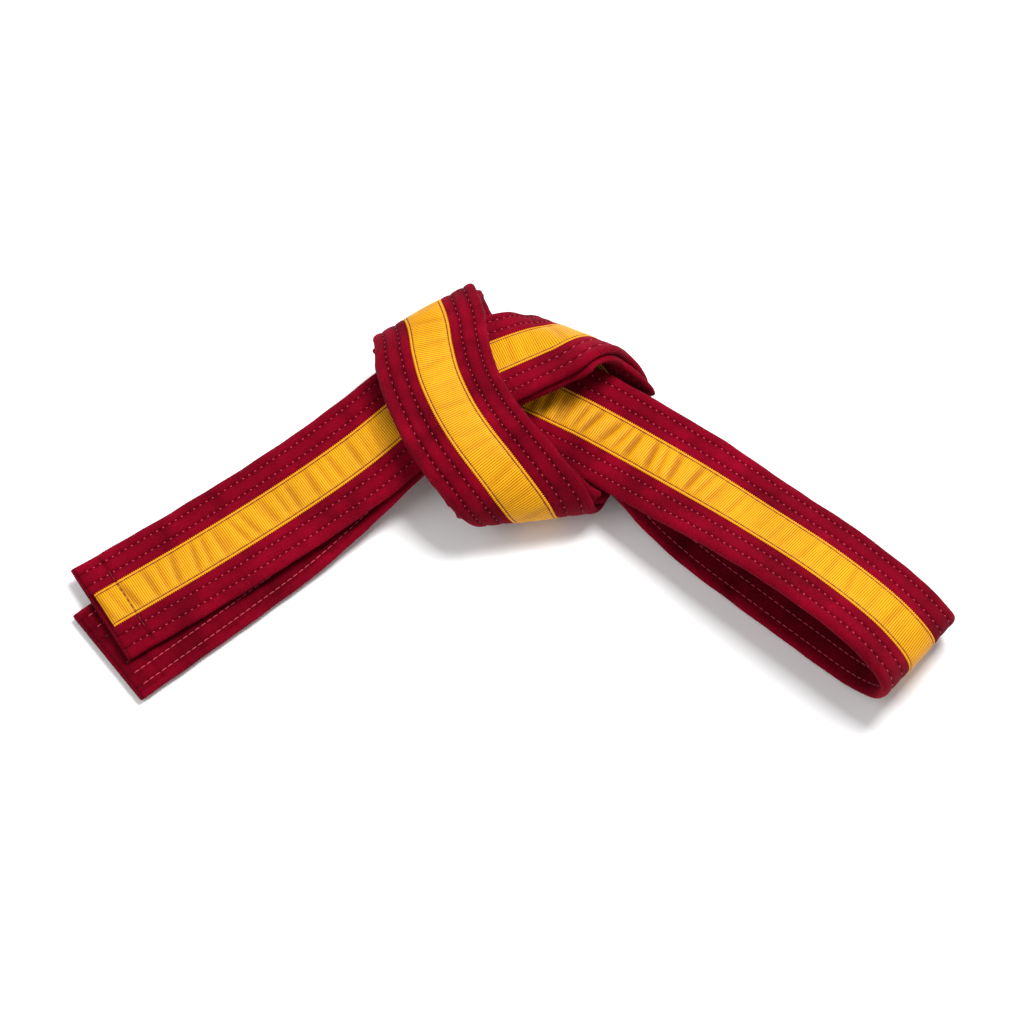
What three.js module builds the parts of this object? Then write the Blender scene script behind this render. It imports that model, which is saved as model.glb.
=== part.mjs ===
// A martial arts belt, doubled and tied in one flat overhand knot.
// Millimetres, +Z up. The origin is on the table, under the middle of the belt's outline:
// the two free ends lie on the -X side and the closed loop on the +X side.
import * as THREE from "three";

// ---- Driving sizes -------------------------------------------------------------
const BELT_WIDTH = 45; // strap, edge to edge
const COVER_THICK = 2.8; // flat strap, without its ribbon
const COVER_WALL = 0.5; // cotton cloth of the cover
const EDGE_ROUND = 1.1; // how far each long edge is rounded off
const CORE_ROOM = 0.45; // air between the cotton batting and each face of the cover
const CORE_SIDE_ROOM = 0.9; // from the batting to the inside of each long edge
const RIBBON_WIDTH = 16; // centre ribbon, on the outer face only
const RIBBON_THICK = 0.4;
const THREAD_THICK = 0.35;
const RED_ROWS = [12.2, 18]; // quilting rows, from the strap's middle line
const SEWING_GAP = 0.22; // air between pieces that are sewn flat on each other
const LAYER_GAP = 0.6; // air between the two layers of the doubled strap
const JOINT_GAP = 0.3; // between stretches of strap that bend on each other
const UPPER_TAIL = 128; // free end on top, from its bend line to its tip
const LOWER_TAIL = 135; // free end underneath, from its bend line to its tip
const LOOP_REACH = 1; // stretches the loop's plan away from the knot
const TACK_INSET = 12; // cross stitching, from the tip
const HEM_DEPTH = 1.2; // cloth folded over each tip

// ---- Sizes that follow from them -----------------------------------------------
const HALF_WIDTH = BELT_WIDTH / 2;
const COVER_FACE = COVER_THICK / 2;
const CORE_THICK = COVER_THICK - 2 * (COVER_WALL + CORE_ROOM);
const TRIM_BASE = COVER_FACE + SEWING_GAP;
const RIBBON_FACE = TRIM_BASE + RIBBON_THICK;
const LAYER_PITCH = COVER_THICK + LAYER_GAP;
const DOUBLED = LAYER_PITCH + 2 * RIBBON_FACE;
const RIBBON_ROW = RIBBON_WIDTH / 2 + SEWING_GAP + THREAD_THICK / 2;
const EDGE_WALL = 0.3; // cotton left inside each rounded edge
const INNER_HALF = HALF_WIDTH - EDGE_ROUND - EDGE_WALL;
const COVER_BREAKS = [RIBBON_WIDTH / 2, (RED_ROWS[0] + RED_ROWS[1]) / 2];

// The route below is drawn for a strap of these sizes, whose lowest middle line lies
// LOWEST_LINE above the table. A wider strap ties a wider and higher knot, a thicker one a higher knot.
const DRAWN_WIDTH = 45;
const DRAWN_RIBBON = 16;
const DRAWN_THICK = 2.8;
const DRAWN_DOUBLED = 7.44;
const DRAWN_CORE_ROOM = 0.45;
const DRAWN_SEWING_GAP = 0.22;
const DRAWN_TURN = 16.5; // degrees between two flat steps
const LOWEST_LINE = 2.02;
const SPREAD = BELT_WIDTH / DRAWN_WIDTH;
const STACK = (SPREAD * DOUBLED) / DRAWN_DOUBLED;
const MIDDLE = { x: -1, y: 2 }; // middle of the belt's outline, in the route's plan

// ---- The route -----------------------------------------------------------------
// A station is [x, y, z, azimuth, tilt]: a point on the strap's middle line, and the way the
// strap's width points there, in degrees. Within the knot the point lies between the two layers.
const KNOT = [
  [-38, 34, 21, 127, -4], // both ends come in from the left
  [-22, 46, 23, 124, -6],
  [-8, 53, 23.5, 120, -10],
  [9, 59.5, 25, 124, -18],
  [17, 62, 25.5, 133, -26], // turn on the right, down and back
  [22, 64.5, 23, 141, -24],
  [26.5, 66.5, 14.5, 148, -14],
  [30.5, 60, 6.3, 155, -2],
  [29, 45, 3.95, 161, 0], // lowest pass, along the table
  [22, 26, 3.95, 164, 0],
  [14.5, 9, 4.6, 176, 0],
  [9.5, -3, 8.5, 185, 0], // turn at the front, up and back
  [6.5, -7.5, 17, 189, -2],
  [0, -4, 25.3, 195, -3],
  [-8, 4, 31, 201, -5],
  [-15.3, 13, 33.2, 204, -4], // top pass, across the knot
  [-22.3, 24.5, 33.5, 204, -1],
  [-28.7, 40, 33, 204, 0],
  [-31.5, 52, 32.5, 206, 0],
  [-33, 63, 31, 210, 0],
  [-34.5, 71.5, 27, 213, 0], // turn at the back, down and under
  [-33.5, 75, 19.5, 213, 0],
  [-29.5, 72.5, 12, 214, 0],
  [-25, 66, 9.6, 216, -3],
  [-11, 53.5, 12.2, 224, -6],
  [9, 42.5, 13.5, 231, -5],
  [27, 32, 14.2, 233, -2], // out to the loop on the right
];
const UPPER_TAIL_RUN = [
  [-155, -46, 6.6, 123, 0],
  [-120, -23, 7.4, 123, 0],
  [-85, 0.5, 10.5, 124, 0],
  [-60, 17.5, 16, 125, 0],
];
const LOWER_TAIL_RUN = [
  [-151, -61, 2.65, 129, 0],
  [-112, -29.5, 2.65, 129, 0],
  [-88, -9.5, 3.6, 128, 0],
  [-62, 14, 9.5, 127, 0],
];
const LOOP_RUN = [
  [48.5, 20.5, 11, 234, 6], // lower side, down on to the table
  [66, 5, 4, 232, 2],
  [82, -9.5, 2.2, 231, 0],
  [98, -23, 2.02, 230, 0],
  [113, -35.6, 2.02, 229.5, 0],
  [127, -47.2, 2.15, 229, 0],
  [139, -57.5, 3.6, 229, 0],
  [148.5, -66, 9.5, 229, 4], // round the end of the loop
  [150, -68, 20, 229, 10],
  [140, -59, 28.5, 229, 14],
  [117, -39, 31, 229, 14], // upper side, back to the knot
  [90, -17, 28, 230, 12],
  [66, 2.5, 23.5, 232, 4],
];
// Bend lines: where the tails and the loop lift from the knot, as a point in plan and a direction.
const UPPER_BEND = { x: -52, y: 23, azimuth: 125 };
const LOWER_BEND = { x: -52, y: 23, azimuth: 125 };
const LOOP_BEND = { x: 60, y: 9, azimuth: 232 };

const SAMPLES = 12; // spline samples between two stations
// Flat steps stand in for bent cloth, so neighbouring pieces come closer at each step. How far one
// step may turn follows from the room between them and from how wide and thick they are.
const TIGHTEST = Math.min(CORE_ROOM / DRAWN_CORE_ROOM, SEWING_GAP / DRAWN_SEWING_GAP, 1);
const WIDEST = Math.max(RIBBON_WIDTH / DRAWN_RIBBON, SPREAD, COVER_THICK / DRAWN_THICK, 1);
const TURN_PER_STEP = (DRAWN_TURN * TIGHTEST ** 2) / WIDEST ** 2.5; // degrees
const TWIST_WEIGHT = 1.6; // a twist counts for more than a bend
const LONGEST_STEP = 17;

// ---- Spline and strap frames ---------------------------------------------------
const addScaled = (a, b, wa, wb) => a.map((value, k) => value * wa + b[k] * wb);
const length3 = (v) => Math.hypot(v[0], v[1], v[2]);

/** A place of the route's plan, measured from the middle of the belt's outline. */
const planX = (x) => (x - MIDDLE.x) * SPREAD;
const planY = (y) => (y - MIDDLE.y) * SPREAD;

/** A station as one row of six numbers: the point, then the unit way across the strap. */
function stationRow([x, y, z, azimuth, tilt]) {
  const turn = THREE.MathUtils.degToRad(azimuth);
  const lean = THREE.MathUtils.degToRad(tilt);
  const height = RIBBON_FACE + (z - LOWEST_LINE) * STACK;
  const across = [Math.cos(turn) * Math.cos(lean), Math.sin(turn) * Math.cos(lean), Math.sin(lean)];
  return [planX(x), planY(y), height, ...across];
}

/** Centripetal Catmull-Rom rows through the given rows, without the last row. */
function spline(rows) {
  const first = addScaled(rows[0], rows[1], 2, -1);
  const last = addScaled(rows.at(-1), rows.at(-2), 2, -1);
  const all = [first, ...rows, last];
  const knots = [0];
  for (let i = 1; i < all.length; i += 1) {
    knots.push(knots[i - 1] + Math.sqrt(length3(addScaled(all[i], all[i - 1], 1, -1))));
  }
  const blend = (a, b, ta, tb, t) => addScaled(a, b, (tb - t) / (tb - ta), (t - ta) / (tb - ta));
  const result = [];
  for (let i = 1; i < all.length - 2; i += 1) {
    const [t0, t1, t2, t3] = knots.slice(i - 1, i + 3);
    const [p0, p1, p2, p3] = all.slice(i - 1, i + 3);
    for (let k = 0; k < SAMPLES; k += 1) {
      const t = t1 + ((t2 - t1) * k) / SAMPLES;
      const a = blend(p0, p1, t0, t1, t);
      const b = blend(p1, p2, t1, t2, t);
      const c = blend(p2, p3, t2, t3, t);
      result.push(blend(blend(a, b, t0, t2, t), blend(b, c, t1, t3, t), t1, t2, t));
    }
  }
  return result;
}

/** Frames along rows: point, unit way across, outward normal, and how long the slanted width is. */
function strapFrames(rows) {
  return rows.map((row, i) => {
    const before = rows[Math.max(i - 1, 0)];
    const after = rows[Math.min(i + 1, rows.length - 1)];
    const travel = new THREE.Vector3(...addScaled(after, before, 1, -1).slice(0, 3)).normalize();
    const across = new THREE.Vector3(...row.slice(3)).normalize();
    const outward = new THREE.Vector3().crossVectors(travel, across);
    const slant = 1 / outward.length();
    outward.normalize();
    return { point: new THREE.Vector3(...row.slice(0, 3)), travel, across, outward, slant };
  });
}

/** The doubled rows moved outward by an offset: one layer of the doubled strap. */
function layerRows(rows, offset) {
  return strapFrames(rows).map(({ point, across, outward }) => {
    const moved = point.clone().addScaledVector(outward, offset);
    return [...moved.toArray(), ...across.toArray()];
  });
}

/** The loop's stations, pushed away from the knot by LOOP_REACH. */
function loopStations() {
  const [startX, startY] = LOOP_RUN[0];
  return LOOP_RUN.map(([x, y, ...rest]) => {
    return [startX + (x - startX) * LOOP_REACH, startY + (y - startY) * LOOP_REACH, ...rest];
  });
}

/** The whole belt from the upper tip, through the knot, round the loop and back to the lower tip. */
function beltRows() {
  const doubled = spline(KNOT.map(stationRow));
  doubled.push(stationRow(KNOT.at(-1)));
  const outer = layerRows(doubled, LAYER_PITCH / 2);
  const inner = layerRows(doubled, -LAYER_PITCH / 2);
  const near = SAMPLES;
  const upperTail = spline([...UPPER_TAIL_RUN.map(stationRow), outer[0], outer[near]]);
  const lowerTail = spline([...LOWER_TAIL_RUN.map(stationRow), inner[0], inner[near]]);
  const leaving = [outer.at(-1 - near), outer.at(-1)];
  const returning = [inner.at(-1), inner.at(-1 - near)];
  const loop = spline([...leaving, ...loopStations().map(stationRow), ...returning]);
  return [
    ...upperTail.slice(0, -near),
    ...outer,
    ...loop.slice(near + 1, -near),
    ...inner.reverse(),
    ...lowerTail.slice(0, -near).reverse(),
  ];
}

// ---- Places along the belt -----------------------------------------------------
const frames = strapFrames(beltRows());
const distances = [0];
for (let i = 1; i < frames.length; i += 1) {
  distances.push(distances[i - 1] + frames[i].point.distanceTo(frames[i - 1].point));
}

/** The strap's frame at a distance along the route, which runs on straight past both tips. */
function frameAt(distance) {
  const end = distances.at(-1);
  const inside = THREE.MathUtils.clamp(distance, 0, end);
  let i = distances.findIndex((value) => value > inside);
  i = i < 0 ? frames.length - 1 : i;
  const share = (inside - distances[i - 1]) / (distances[i] - distances[i - 1]);
  const [a, b] = [frames[i - 1], frames[i]];
  const mix = (key) => a[key].clone().lerp(b[key], share);
  const travel = mix("travel").normalize();
  const point = mix("point").addScaledVector(travel, distance - inside);
  const slant = THREE.MathUtils.lerp(a.slant, b.slant, share);
  return { point, travel, across: mix("across").normalize(), outward: mix("outward").normalize(), slant };
}

/** The place where the middle line crosses a bend line, going one way from a start frame. */
function crossing({ x, y, azimuth }, start, direction) {
  const turn = THREE.MathUtils.degToRad(azimuth);
  const side = ({ point }) => (point.x - planX(x)) * Math.sin(turn) - (point.y - planY(y)) * Math.cos(turn);
  const startSide = Math.sign(side(frames[start]));
  let i = start;
  while (Math.sign(side(frames[i])) === startSide) i += direction;
  return distances[i];
}

/** Distances from a to b, closer together where the strap turns. */
function steps(a, b) {
  const result = [a];
  const fine = 0.5;
  let last = frameAt(a);
  for (let d = a + fine; d < b - fine; d += fine) {
    const here = frameAt(d);
    const turned = here.outward.angleTo(last.outward) + TWIST_WEIGHT * here.across.angleTo(last.across);
    if (THREE.MathUtils.radToDeg(turned) > TURN_PER_STEP || d - result.at(-1) > LONGEST_STEP) {
      result.push(d);
      last = here;
    }
  }
  result.push(b);
  return result;
}

// ---- Sections across the strap: x across, y outward ----------------------------
/** A flat band's outline between two faces, with vertices at the given places across. */
function bandOutline(half, lowFace, highFace, breaks, round = 0) {
  const right = [...breaks, half - round];
  const row = [...right.map((w) => -w).reverse(), 0, ...right];
  const low = row.map((w) => new THREE.Vector2(w, lowFace));
  const high = row.map((w) => new THREE.Vector2(w, highFace)).reverse();
  const middle = (lowFace + highFace) / 2;
  if (round === 0) return [...low, ...high];
  return [...low, new THREE.Vector2(half, middle), ...high, new THREE.Vector2(-half, middle)];
}

/** A sewing thread's outline, lying on a face at a place across the strap. */
function threadOutline(across, base) {
  return [
    new THREE.Vector2(across - THREAD_THICK / 2, base),
    new THREE.Vector2(across + THREAD_THICK / 2, base),
    new THREE.Vector2(across, base + THREAD_THICK),
  ];
}

/** The cover: a flat cotton tube with rounded long edges, open at both ends. */
function coverShape() {
  const shape = new THREE.Shape(bandOutline(HALF_WIDTH, -COVER_FACE, COVER_FACE, COVER_BREAKS, EDGE_ROUND));
  const room = COVER_FACE - COVER_WALL;
  shape.holes.push(new THREE.Path(bandOutline(INNER_HALF, -room, room, [RIBBON_WIDTH / 2])));
  return shape;
}

/** A section swept along the belt over the given distances. */
function layAlong(shape, places) {
  const count = places.length - 1;
  const geometry = new THREE.ExtrudeGeometry(shape, { depth: count, steps: count, bevelEnabled: false });
  const laid = places.map(frameAt);
  const position = geometry.getAttribute("position");
  for (let i = 0; i < position.count; i += 1) {
    const { point, across, outward, slant } = laid[Math.round(position.getZ(i))];
    const vertex = point.clone();
    vertex.addScaledVector(across, position.getX(i) * slant);
    vertex.addScaledVector(outward, position.getY(i));
    position.setXYZ(i, vertex.x, vertex.y, vertex.z);
  }
  geometry.computeVertexNormals();
  return geometry;
}

// ---- Materials -----------------------------------------------------------------
const redCotton = () => new THREE.MeshStandardMaterial({ color: 0x8c0a1e, roughness: 0.9, metalness: 0 });
const batting = () => new THREE.MeshStandardMaterial({ color: 0xe8e2d4, roughness: 1, metalness: 0 });
const goldRibbon = () => new THREE.MeshStandardMaterial({ color: 0xf0a818, roughness: 0.6, metalness: 0 });
const redThread = () => new THREE.MeshStandardMaterial({ color: 0xc84a5a, roughness: 0.7, metalness: 0 });
const darkThread = () => new THREE.MeshStandardMaterial({ color: 0x5a1408, roughness: 0.7, metalness: 0 });

// ---- The belt ------------------------------------------------------------------
const belt = new THREE.Group();
belt.name = "martial_arts_belt";

function addPiece(name, geometry, material) {
  const mesh = new THREE.Mesh(geometry, material);
  mesh.name = name;
  belt.add(mesh);
}

/** One stretch of strap: cover, batting, ribbon, quilting rows and ribbon stitching. */
function addStretch(name, from, to) {
  const places = steps(from, to);
  const coreHalf = INNER_HALF - CORE_SIDE_ROOM;
  const core = bandOutline(coreHalf, -CORE_THICK / 2, CORE_THICK / 2, [RIBBON_WIDTH / 2]);
  const ribbon = bandOutline(RIBBON_WIDTH / 2, TRIM_BASE, RIBBON_FACE, []);
  addPiece(`${name}_cover`, layAlong(coverShape(), places), redCotton());
  addPiece(`${name}_batting`, layAlong(new THREE.Shape(core), places), batting());
  addPiece(`${name}_ribbon`, layAlong(new THREE.Shape(ribbon), places), goldRibbon());
  const redRows = [-RED_ROWS[1], -RED_ROWS[0], RED_ROWS[0], RED_ROWS[1]];
  redRows.forEach((across, i) => {
    const thread = new THREE.Shape(threadOutline(across, TRIM_BASE));
    addPiece(`${name}_quilting_row_${i + 1}`, layAlong(thread, places), redThread());
  });
  [-RIBBON_ROW, RIBBON_ROW].forEach((across, i) => {
    const thread = new THREE.Shape(threadOutline(across, TRIM_BASE));
    addPiece(`${name}_ribbon_stitching_${i + 1}`, layAlong(thread, places), darkThread());
  });
}

/** The folded-over cloth that closes a tip, and the cross stitching that holds the ribbon's end. */
function addTip(name, tip, inward) {
  const hem = new THREE.Shape(bandOutline(HALF_WIDTH, -COVER_FACE, COVER_FACE, COVER_BREAKS, EDGE_ROUND));
  const hemPlaces = [tip, tip + inward * HEM_DEPTH].sort((a, b) => a - b);
  addPiece(`${name}_tip_hem`, layAlong(hem, hemPlaces), redCotton());
  const base = RIBBON_FACE + SEWING_GAP;
  const tack = new THREE.Shape(bandOutline(RIBBON_WIDTH / 2, base, base + THREAD_THICK, []));
  const tackPlace = tip + inward * TACK_INSET;
  const tackPlaces = [tackPlace - THREAD_THICK, tackPlace + THREAD_THICK];
  addPiece(`${name}_cross_stitching`, layAlong(tack, tackPlaces), darkThread());
}

const loopEnd = frames.reduce((best, frame, i) => (frame.point.x > frames[best].point.x ? i : best), 0);
const upperBend = crossing(UPPER_BEND, 0, 1);
const lowerBend = crossing(LOWER_BEND, frames.length - 1, -1);
const loopStart = crossing(LOOP_BEND, loopEnd, -1);
const loopReturn = crossing(LOOP_BEND, loopEnd, 1);
const upperTip = upperBend - UPPER_TAIL;
const lowerTip = lowerBend + LOWER_TAIL;
const tipRoom = HEM_DEPTH + JOINT_GAP;
const half = JOINT_GAP / 2;

addStretch("upper_tail", upperTip + tipRoom, upperBend - half);
addTip("upper_tail", upperTip, 1);
addStretch("knot_outer_layer", upperBend + half, loopStart - half);
addStretch("loop", loopStart + half, loopReturn - half);
addStretch("knot_inner_layer", loopReturn + half, lowerBend - half);
addStretch("lower_tail", lowerBend + half, lowerTip - tipRoom);
addTip("lower_tail", lowerTip, -1);

export default belt;
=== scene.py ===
# %% [markdown]
# # A martial arts belt, doubled and tied in a flat overhand knot
# The belt is one long strap: a tube of red cotton twill with cotton batting inside, quilted
# with rows of stitching, and a gold grosgrain ribbon sewn down the middle of one face.
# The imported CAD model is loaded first. It is plain, and it holds the sizes, the bodies and the
# joints, so every piece made here is laid along the same route, in metres, in the same frame.

# %% Load the frame
import math
import random

import bmesh
import bpy
import numpy as np
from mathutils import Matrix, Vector


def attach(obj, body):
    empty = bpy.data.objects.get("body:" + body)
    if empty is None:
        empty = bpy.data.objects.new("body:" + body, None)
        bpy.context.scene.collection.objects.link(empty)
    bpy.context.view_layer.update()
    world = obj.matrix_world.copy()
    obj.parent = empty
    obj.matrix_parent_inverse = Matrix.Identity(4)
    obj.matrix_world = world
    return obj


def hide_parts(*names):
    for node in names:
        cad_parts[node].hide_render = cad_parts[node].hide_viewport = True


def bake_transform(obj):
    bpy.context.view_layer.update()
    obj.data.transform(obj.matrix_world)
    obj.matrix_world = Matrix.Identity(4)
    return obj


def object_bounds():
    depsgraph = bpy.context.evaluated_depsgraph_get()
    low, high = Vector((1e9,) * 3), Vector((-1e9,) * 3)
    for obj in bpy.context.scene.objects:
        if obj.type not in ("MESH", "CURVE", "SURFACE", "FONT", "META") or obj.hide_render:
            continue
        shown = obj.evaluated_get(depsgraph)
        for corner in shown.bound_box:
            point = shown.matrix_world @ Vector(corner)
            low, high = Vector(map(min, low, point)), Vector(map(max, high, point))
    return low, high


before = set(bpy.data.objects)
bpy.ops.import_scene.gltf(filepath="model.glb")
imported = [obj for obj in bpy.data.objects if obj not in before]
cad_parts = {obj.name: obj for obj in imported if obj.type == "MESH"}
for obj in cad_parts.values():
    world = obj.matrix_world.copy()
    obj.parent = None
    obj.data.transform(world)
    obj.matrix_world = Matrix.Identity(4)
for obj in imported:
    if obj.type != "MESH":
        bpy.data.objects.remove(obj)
cad_bounds = [[float(v) for v in corner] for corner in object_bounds()]
print("CAD box in metres", cad_bounds)
bpy.ops.object.select_all(action="DESELECT")

# %% [markdown]
# ## Sizes
# These are the sizes a belt maker would write on the pattern. The grosgrain's ribs and the
# stitches have a real pitch, so their count follows from the belt's length.

# %% Sizes of the strap
MM = 0.001
BELT_WIDTH = 45 * MM
HALF_WIDTH = BELT_WIDTH / 2
RIBBON_WIDTH = 16 * MM
LAYER_PITCH = 3.4 * MM           # from one layer of the doubled strap to the other
EDGE_ROW = 6.9 * MM              # stitching just inside each edge of the ribbon
RED_ROWS = [12.2 * MM, 18 * MM]  # quilting rows, from the middle line
STITCH = 2.8 * MM                # length of one stitch, hole to hole
RIB = 0.86 * MM                  # pitch of the grosgrain's ribs
UPPER_TAIL = 128 * MM
LOWER_TAIL = 135 * MM
TACK_INSET = 12 * MM
HEM_DEPTH = 1.2 * MM
print("ribs across the ribbon per 100 mm:", round(100 * MM / RIB))

# %% [markdown]
# ## Camera, floor and light
# The camera looks down at the belt from the front at 63 degrees, through a long lens, so the
# strap keeps nearly the same width from end to end. The floor is a plain pale sheet. One soft
# lamp stands behind on the right, where the folds are brightest, and two weaker ones fill the
# left and the front, so the inside of the loop stays dark.

# %% Camera
AIM = Vector((0.2, -7.2, 10)) * MM
CAMERA_DISTANCE = 1.1
CAMERA_TILT = math.radians(63)
SENSOR_WIDTH = 36  # mm, as Blender takes it
LENS_LENGTH = 100.5  # mm
scene = bpy.context.scene


def look_at(thing, place, target):
    """Puts a lamp or a camera at a place, facing a target."""
    thing.location = place
    thing.rotation_euler = (target - place).to_track_quat("-Z", "Y").to_euler()


camera = bpy.data.objects.new("camera", bpy.data.cameras.new("camera"))
camera.data.sensor_width = SENSOR_WIDTH
camera.data.lens = LENS_LENGTH
scene.collection.objects.link(camera)
back = Vector((0, -math.cos(CAMERA_TILT), math.sin(CAMERA_TILT)))
look_at(camera, AIM + back * CAMERA_DISTANCE, AIM)
scene.camera = camera
print("camera at", [round(v, 3) for v in camera.location])

# %% Lamps and world
WORLD_LIGHT = 0.4
WHITE = (1, 1, 1, 1)
LAMPS = [  # name, place and size in metres, watts
    ("key_lamp", (0.35, 0.45, 1.25), 0.6, 25),
    ("fill_lamp", (-0.9, -0.2, 1.1), 1.0, 6),
    ("front_lamp", (0.6, -1.0, 0.8), 0.9, 2),
]
for name, place, size, watts in LAMPS:
    lamp = bpy.data.objects.new(name, bpy.data.lights.new(name, "AREA"))
    lamp.data.size = size
    lamp.data.energy = watts
    scene.collection.objects.link(lamp)
    look_at(lamp, Vector(place), AIM)
world = bpy.data.worlds.new("studio")
world.use_nodes = True
world.node_tree.nodes["Background"].inputs["Color"].default_value = WHITE
world.node_tree.nodes["Background"].inputs["Strength"].default_value = WORLD_LIGHT
scene.world = world
scene.view_settings.view_transform = "Standard"
print("lamps:", [name for name, *_ in LAMPS])

# %% Floor
FLOOR_SIZE = 8
FLOOR_GAP = 0.1 * MM
PAPER_COLOUR = (0.93, 0.93, 0.93, 1)
PAPER_ROUGHNESS = 0.9
floor_height = cad_bounds[0][2] - FLOOR_GAP
bpy.ops.mesh.primitive_plane_add(size=FLOOR_SIZE, location=(0, 0, floor_height))
floor = bpy.context.object
floor.name = "floor"
paper = bpy.data.materials.new("pale_paper")
paper.use_nodes = True
paper_shader = paper.node_tree.nodes["Principled BSDF"]
paper_shader.inputs["Base Color"].default_value = PAPER_COLOUR
paper_shader.inputs["Roughness"].default_value = PAPER_ROUGHNESS
floor.data.materials.append(paper)
bpy.ops.object.select_all(action="DESELECT")
print("floor at", round(floor_height, 5))

# %% [markdown]
# ## The route
# A knot can't be simulated out of a straight strap in a few lines, so its route is a list of
# stations: a point on the strap's middle line, the direction in which the strap's width points
# there, and its tilt. Inside the knot the two layers run together, so a station there lies
# between them. The CAD model holds the same list.

# %% Stations of the route: x, y, z in metres, then azimuth and tilt in degrees
MIDDLE = (-0.001, 0.002)  # middle of the belt's outline, in the route's plan
KNOT = [
    (-0.038, 0.034, 0.021, 127, -4),  # both ends come in from the left
    (-0.022, 0.046, 0.023, 124, -6),
    (-0.008, 0.053, 0.0235, 120, -10),
    (0.009, 0.0595, 0.025, 124, -18),
    (0.017, 0.062, 0.0255, 133, -26),  # turn on the right, down and back
    (0.022, 0.0645, 0.023, 141, -24),
    (0.0265, 0.0665, 0.0145, 148, -14),
    (0.0305, 0.06, 0.0063, 155, -2),
    (0.029, 0.045, 0.00395, 161, 0),  # lowest pass, along the table
    (0.022, 0.026, 0.00395, 164, 0),
    (0.0145, 0.009, 0.0046, 176, 0),
    (0.0095, -0.003, 0.0085, 185, 0),  # turn at the front, up and back
    (0.0065, -0.0075, 0.017, 189, -2),
    (0, -0.004, 0.0253, 195, -3),
    (-0.008, 0.004, 0.031, 201, -5),
    (-0.0153, 0.013, 0.0332, 204, -4),  # top pass, across the knot
    (-0.0223, 0.0245, 0.0335, 204, -1),
    (-0.0287, 0.04, 0.033, 204, 0),
    (-0.0315, 0.052, 0.0325, 206, 0),
    (-0.033, 0.063, 0.031, 210, 0),
    (-0.0345, 0.0715, 0.027, 213, 0),  # turn at the back, down and under
    (-0.0335, 0.075, 0.0195, 213, 0),
    (-0.0295, 0.0725, 0.012, 214, 0),
    (-0.025, 0.066, 0.0096, 216, -3),
    (-0.011, 0.0535, 0.0122, 224, -6),
    (0.009, 0.0425, 0.0135, 231, -5),
    (0.027, 0.032, 0.0142, 233, -2),  # out to the loop on the right
]
LOWEST_PASS = 9  # number of the station in the middle of the lowest pass
UPPER_TAIL_RUN = [
    (-0.155, -0.046, 0.0066, 123, 0),
    (-0.120, -0.023, 0.0074, 123, 0),
    (-0.085, 0.0005, 0.0105, 124, 0),
    (-0.060, 0.0175, 0.016, 125, 0),
]
LOWER_TAIL_RUN = [
    (-0.151, -0.061, 0.00265, 129, 0),
    (-0.112, -0.0295, 0.00265, 129, 0),
    (-0.088, -0.0095, 0.0036, 128, 0),
    (-0.062, 0.014, 0.0095, 127, 0),
]
LOOP_RUN = [
    (0.0485, 0.0205, 0.011, 234, 6),  # lower side, down on to the table
    (0.066, 0.005, 0.004, 232, 2),
    (0.082, -0.0095, 0.0022, 231, 0),
    (0.098, -0.023, 0.00202, 230, 0),
    (0.113, -0.0356, 0.00202, 229.5, 0),
    (0.127, -0.0472, 0.00215, 229, 0),
    (0.139, -0.0575, 0.0036, 229, 0),
    (0.1485, -0.066, 0.0095, 229, 4),  # round the end of the loop
    (0.150, -0.068, 0.020, 229, 10),
    (0.140, -0.059, 0.0285, 229, 14),
    (0.117, -0.039, 0.031, 229, 14),  # upper side, back to the knot
    (0.090, -0.017, 0.028, 230, 12),
    (0.066, 0.0025, 0.0235, 232, 4),
]
UPPER_BEND = (-0.052, 0.023, 125)  # where the free ends lift from the knot
LOWER_BEND = (-0.052, 0.023, 125)
print("stations:", len(KNOT) + len(UPPER_TAIL_RUN) + len(LOWER_TAIL_RUN) + len(LOOP_RUN))

# %% [markdown]
# ## From stations to a smooth strap
# A Catmull-Rom spline with centripetal spacing passes through every station without
# overshooting at the tight folds. Each sample is a row of six numbers, the point and the unit
# direction across the strap, so the width is blended in the same step as the middle line.

# %% Spline and frames
SAMPLES = 36


def station_row(station):
    """A station as a row: its point, then the unit way across the strap."""
    x, y, z, azimuth, tilt = station
    turn, lean = math.radians(azimuth), math.radians(tilt)
    across = (math.cos(turn) * math.cos(lean), math.sin(turn) * math.cos(lean), math.sin(lean))
    return np.array([x - MIDDLE[0], y - MIDDLE[1], z, *across])


def spline(rows):
    """Centripetal Catmull-Rom rows through the given rows, without the last row."""
    rows = [2 * rows[0] - rows[1], *rows, 2 * rows[-1] - rows[-2]]
    knots = [0.0]
    for before, after in zip(rows, rows[1:]):
        knots.append(knots[-1] + math.sqrt(np.linalg.norm((after - before)[:3])))
    result = []
    for i in range(1, len(rows) - 2):
        t0, t1, t2, t3 = knots[i - 1:i + 3]
        p0, p1, p2, p3 = rows[i - 1:i + 3]
        t = (t1 + (t2 - t1) * np.arange(SAMPLES) / SAMPLES)[:, None]
        a = ((t1 - t) * p0 + (t - t0) * p1) / (t1 - t0)
        b = ((t2 - t) * p1 + (t - t1) * p2) / (t2 - t1)
        c = ((t3 - t) * p2 + (t - t2) * p3) / (t3 - t2)
        d = ((t2 - t) * a + (t - t0) * b) / (t2 - t0)
        e = ((t3 - t) * b + (t - t1) * c) / (t3 - t1)
        result.extend(((t2 - t) * d + (t - t1) * e) / (t2 - t1))
    return result


def unit(rows):
    """Rows scaled to a length of one."""
    return rows / np.linalg.norm(rows, axis=1, keepdims=True)


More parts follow.
